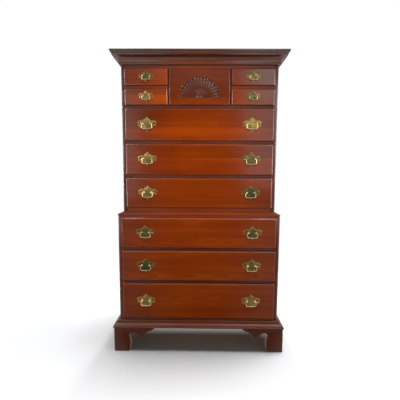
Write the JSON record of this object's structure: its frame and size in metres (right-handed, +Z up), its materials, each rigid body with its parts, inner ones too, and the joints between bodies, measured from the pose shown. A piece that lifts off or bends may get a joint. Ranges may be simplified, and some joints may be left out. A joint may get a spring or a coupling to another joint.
{
  "type": "chest-on-chest of drawers",
  "caption": "Tall chest-on-chest on bracket feet, with a moulded cornice, lipped sliding drawers, a carved fan drawer and swinging brass bail pulls.",
  "frame": {"origin": "centre of the footprint, on the floor under the feet", "axes": "+X across the front to the viewer's right, +Y to the back, +Z up; the drawers face -Y"},
  "size_m": [1.041, 0.532, 1.7805],
  "materials": {
    "cherry": "red-brown stained cherry under satin lacquer",
    "drawer_wood": "pale planed hardwood, thin clear sealer",
    "secondary_wood": "pale planed wood, unfinished",
    "back_panel": "thin panel, stained brown and left dull",
    "brass": "polished brass, a little tarnished"
  },
  "bodies": {
    "case": {"cornice_moulding": "cherry", "waist_moulding": "cherry", "base_moulding": "cherry", "bracket_feet": "cherry", "lower_case_sides": "cherry", "upper_case_sides": "cherry", "drawer_rails": "cherry", "drawer_dividers": "cherry", "foot_blocks": "secondary_wood", "case_boards": "secondary_wood", "drawer_runners": "secondary_wood", "case_backs": "back_panel"},
    "small_drawer_top_left": {"small_drawer_top_left_front": "cherry", "small_drawer_top_left_box": "drawer_wood", "small_drawer_top_left_pull_mounts": "brass"},
    "small_drawer_top_left_bail": {"small_drawer_top_left_bail": "brass"},
    "small_drawer_low_left": {"small_drawer_low_left_front": "cherry", "small_drawer_low_left_box": "drawer_wood", "small_drawer_low_left_pull_mounts": "brass"},
    "small_drawer_low_left_bail": {"small_drawer_low_left_bail": "brass"},
    "small_drawer_top_right": {"small_drawer_top_right_front": "cherry", "small_drawer_top_right_box": "drawer_wood", "small_drawer_top_right_pull_mounts": "brass"},
    "small_drawer_top_right_bail": {"small_drawer_top_right_bail": "brass"},
    "small_drawer_low_right": {"small_drawer_low_right_front": "cherry", "small_drawer_low_right_box": "drawer_wood", "small_drawer_low_right_pull_mounts": "brass"},
    "small_drawer_low_right_bail": {"small_drawer_low_right_bail": "brass"},
    "fan_drawer": {"fan_drawer_front": "cherry", "fan_drawer_box": "drawer_wood"},
    "upper_drawer_1": {"upper_drawer_1_front": "cherry", "upper_drawer_1_box": "drawer_wood", "upper_drawer_1_pull_mounts": "brass"},
    "upper_drawer_1_bail_left": {"upper_drawer_1_bail_left": "brass"},
    "upper_drawer_1_bail_right": {"upper_drawer_1_bail_right": "brass"},
    "upper_drawer_2": {"upper_drawer_2_front": "cherry", "upper_drawer_2_box": "drawer_wood", "upper_drawer_2_pull_mounts": "brass"},
    "upper_drawer_2_bail_left": {"upper_drawer_2_bail_left": "brass"},
    "upper_drawer_2_bail_right": {"upper_drawer_2_bail_right": "brass"},
    "upper_drawer_3": {"upper_drawer_3_front": "cherry", "upper_drawer_3_box": "drawer_wood", "upper_drawer_3_pull_mounts": "brass"},
    "upper_drawer_3_bail_left": {"upper_drawer_3_bail_left": "brass"},
    "upper_drawer_3_bail_right": {"upper_drawer_3_bail_right": "brass"},
    "lower_drawer_1": {"lower_drawer_1_front": "cherry", "lower_drawer_1_box": "drawer_wood", "lower_drawer_1_pull_mounts": "brass"},
    "lower_drawer_1_bail_left": {"lower_drawer_1_bail_left": "brass"},
    "lower_drawer_1_bail_right": {"lower_drawer_1_bail_right": "brass"},
    "lower_drawer_2": {"lower_drawer_2_front": "cherry", "lower_drawer_2_box": "drawer_wood", "lower_drawer_2_pull_mounts": "brass"},
    "lower_drawer_2_bail_left": {"lower_drawer_2_bail_left": "brass"},
    "lower_drawer_2_bail_right": {"lower_drawer_2_bail_right": "brass"},
    "lower_drawer_3": {"lower_drawer_3_front": "cherry", "lower_drawer_3_box": "drawer_wood", "lower_drawer_3_pull_mounts": "brass"},
    "lower_drawer_3_bail_left": {"lower_drawer_3_bail_left": "brass"},
    "lower_drawer_3_bail_right": {"lower_drawer_3_bail_right": "brass"}
  },
  "joints": [
    {"name": "small_drawer_top_left_slide", "type": "slide", "parent": "case", "child": "small_drawer_top_left", "axis": [0, -1, 0], "range_m": [0, 0.34]},
    {"name": "small_drawer_top_left_bail_swing", "type": "hinge", "parent": "small_drawer_top_left", "child": "small_drawer_top_left_bail", "pos_m": [-0.3106, -0.2207, 1.6465], "axis": [-1, 0, 0], "range_deg": [-12, 100]},
    {"name": "small_drawer_low_left_slide", "type": "slide", "parent": "case", "child": "small_drawer_low_left", "axis": [0, -1, 0], "range_m": [0, 0.34]},
    {"name": "small_drawer_low_left_bail_swing", "type": "hinge", "parent": "small_drawer_low_left", "child": "small_drawer_low_left_bail", "pos_m": [-0.3106, -0.2207, 1.5335], "axis": [-1, 0, 0], "range_deg": [-12, 100]},
    {"name": "small_drawer_top_right_slide", "type": "slide", "parent": "case", "child": "small_drawer_top_right", "axis": [0, -1, 0], "range_m": [0, 0.34]},
    {"name": "small_drawer_top_right_bail_swing", "type": "hinge", "parent": "small_drawer_top_right", "child": "small_drawer_top_right_bail", "pos_m": [0.3106, -0.2207, 1.6465], "axis": [-1, 0, 0], "range_deg": [-12, 100]},
    {"name": "small_drawer_low_right_slide", "type": "slide", "parent": "case", "child": "small_drawer_low_right", "axis": [0, -1, 0], "range_m": [0, 0.34]},
    {"name": "small_drawer_low_right_bail_swing", "type": "hinge", "parent": "small_drawer_low_right", "child": "small_drawer_low_right_bail", "pos_m": [0.3106, -0.2207, 1.5335], "axis": [-1, 0, 0], "range_deg": [-12, 100]},
    {"name": "fan_drawer_slide", "type": "slide", "parent": "case", "child": "fan_drawer", "axis": [0, -1, 0], "range_m": [0, 0.34]},
    {"name": "upper_drawer_1_slide", "type": "slide", "parent": "case", "child": "upper_drawer_1", "axis": [0, -1, 0], "range_m": [0, 0.34]},
    {"name": "upper_drawer_1_bail_left_swing", "type": "hinge", "parent": "upper_drawer_1", "child": "upper_drawer_1_bail_left", "pos_m": [-0.308, -0.2237, 1.3755], "axis": [-1, 0, 0], "range_deg": [-14, 100]},
    {"name": "upper_drawer_1_bail_right_swing", "type": "hinge", "parent": "upper_drawer_1", "child": "upper_drawer_1_bail_right", "pos_m": [0.308, -0.2237, 1.3755], "axis": [-1, 0, 0], "range_deg": [-14, 100]},
    {"name": "upper_drawer_2_slide", "type": "slide", "parent": "case", "child": "upper_drawer_2", "axis": [0, -1, 0], "range_m": [0, 0.34]},
    {"name": "upper_drawer_2_bail_left_swing", "type": "hinge", "parent": "upper_drawer_2", "child": "upper_drawer_2_bail_left", "pos_m": [-0.308, -0.2237, 1.1725], "axis": [-1, 0, 0], "range_deg": [-14, 100]},
    {"name": "upper_drawer_2_bail_right_swing", "type": "hinge", "parent": "upper_drawer_2", "child": "upper_drawer_2_bail_right", "pos_m": [0.308, -0.2237, 1.1725], "axis": [-1, 0, 0], "range_deg": [-14, 100]},
    {"name": "upper_drawer_3_slide", "type": "slide", "parent": "case", "child": "upper_drawer_3", "axis": [0, -1, 0], "range_m": [0, 0.34]},
    {"name": "upper_drawer_3_bail_left_swing", "type": "hinge", "parent": "upper_drawer_3", "child": "upper_drawer_3_bail_left", "pos_m": [-0.308, -0.2237, 0.9735], "axis": [-1, 0, 0], "range_deg": [-14, 100]},
    {"name": "upper_drawer_3_bail_right_swing", "type": "hinge", "parent": "upper_drawer_3", "child": "upper_drawer_3_bail_right", "pos_m": [0.308, -0.2237, 0.9735], "axis": [-1, 0, 0], "range_deg": [-14, 100]},
    {"name": "lower_drawer_1_slide", "type": "slide", "parent": "case", "child": "lower_drawer_1", "axis": [0, -1, 0], "range_m": [0, 0.36]},
    {"name": "lower_drawer_1_bail_left_swing", "type": "hinge", "parent": "lower_drawer_1", "child": "lower_drawer_1_bail_left", "pos_m": [-0.3195, -0.25, 0.73525], "axis": [-1, 0, 0], "range_deg": [-14, 100]},
    {"name": "lower_drawer_1_bail_right_swing", "type": "hinge", "parent": "lower_drawer_1", "child": "lower_drawer_1_bail_right", "pos_m": [0.3195, -0.25, 0.73525], "axis": [-1, 0, 0], "range_deg": [-14, 100]},
    {"name": "lower_drawer_2_slide", "type": "slide", "parent": "case", "child": "lower_drawer_2", "axis": [0, -1, 0], "range_m": [0, 0.36]},
    {"name": "lower_drawer_2_bail_left_swing", "type": "hinge", "parent": "lower_drawer_2", "child": "lower_drawer_2_bail_left", "pos_m": [-0.3195, -0.25, 0.5335], "axis": [-1, 0, 0], "range_deg": [-14, 100]},
    {"name": "lower_drawer_2_bail_right_swing", "type": "hinge", "parent": "lower_drawer_2", "child": "lower_drawer_2_bail_right", "pos_m": [0.3195, -0.25, 0.5335], "axis": [-1, 0, 0], "range_deg": [-14, 100]},
    {"name": "lower_drawer_3_slide", "type": "slide", "parent": "case", "child": "lower_drawer_3", "axis": [0, -1, 0], "range_m": [0, 0.36]},
    {"name": "lower_drawer_3_bail_left_swing", "type": "hinge", "parent": "lower_drawer_3", "child": "lower_drawer_3_bail_left", "pos_m": [-0.3195, -0.25, 0.31325], "axis": [-1, 0, 0], "range_deg": [-14, 100]},
    {"name": "lower_drawer_3_bail_right_swing", "type": "hinge", "parent": "lower_drawer_3", "child": "lower_drawer_3_bail_right", "pos_m": [0.3195, -0.25, 0.31325], "axis": [-1, 0, 0], "range_deg": [-14, 100]}
  ]
}
